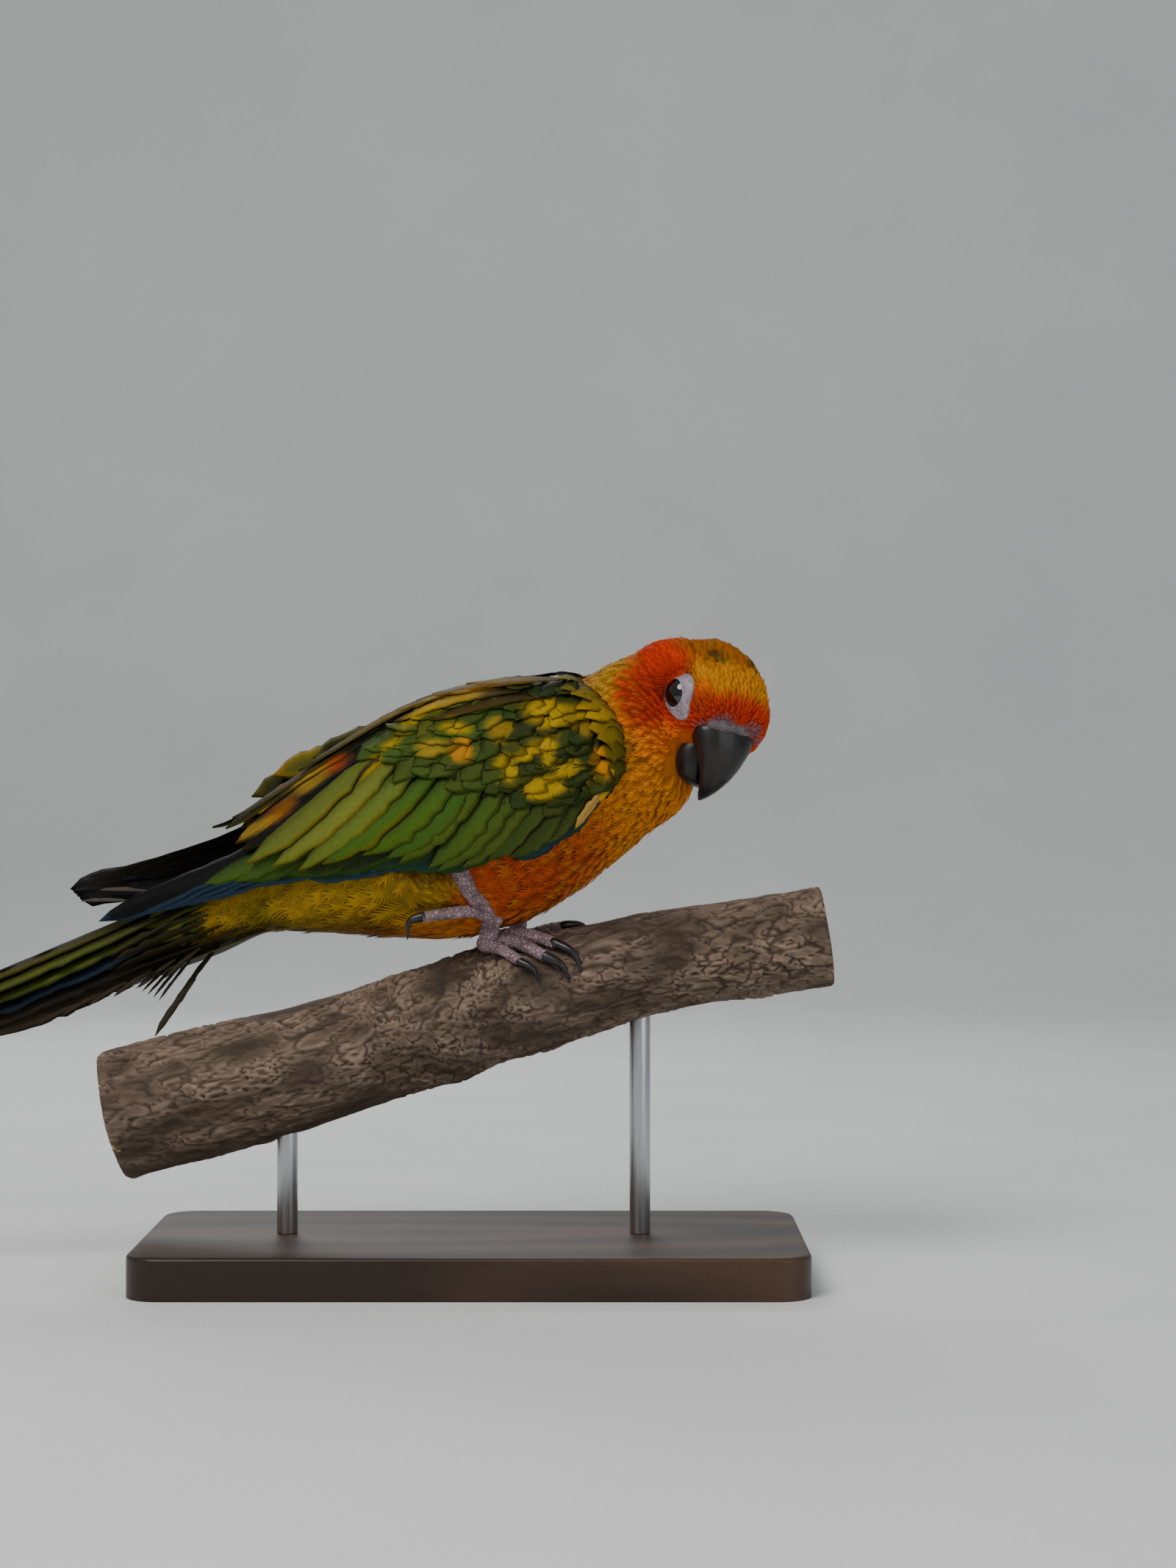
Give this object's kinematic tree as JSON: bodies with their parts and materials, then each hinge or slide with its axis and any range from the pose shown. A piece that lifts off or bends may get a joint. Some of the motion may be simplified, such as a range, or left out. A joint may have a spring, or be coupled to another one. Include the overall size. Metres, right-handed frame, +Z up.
{
  "type": "sun conure parrot model",
  "caption": "Still life-size model of a sun conure crouched on a cut length of branch, on a flat display base with upright rods.",
  "frame": {"origin": "on the floor under the stand's base, in the plane of the bird's body, below the middle of its body", "axes": "+X the way the bird's body faces, +Y to its left, +Z up"},
  "size_m": [0.2974, 0.092, 0.1842],
  "materials": {
    "plumage_face": "feathers, red-orange, matt",
    "plumage_neck": "feathers, orange-yellow, matt",
    "plumage_body": "feathers, orange to mustard yellow, matt",
    "plumage_wing": "feathers, green with yellow patches, slight sheen",
    "plumage_tail": "feathers, olive green, slight sheen",
    "bill": "horn, black-grey, satin gloss",
    "eye": "glossy dark brown",
    "foot_skin": "scaly bare skin, pinkish grey",
    "claw": "horn, dark, satin",
    "bark": "rough bark, matt",
    "stand_wood": "dark stained, satin",
    "stand_metal": "brushed"
  },
  "bodies": {
    "root": {"head": "plumage_face", "neck": "plumage_neck", "torso": "plumage_body", "tail": "plumage_tail", "wing_right": "plumage_wing", "wing_left": "plumage_wing", "thigh_right": "plumage_body", "thigh_left": "plumage_body", "foot_right": "foot_skin", "foot_left": "foot_skin", "claw_right_1": "claw", "claw_right_2": "claw", "claw_right_3": "claw", "claw_right_4": "claw", "claw_left_1": "claw", "claw_left_2": "claw", "claw_left_3": "claw", "claw_left_4": "claw", "bill_upper": "bill", "bill_lower": "bill", "eye_right": "eye", "eye_left": "eye", "perch": "bark", "stand_base": "stand_wood", "stand_rod_1": "stand_metal", "stand_rod_2": "stand_metal"}
  },
  "joints": []
}
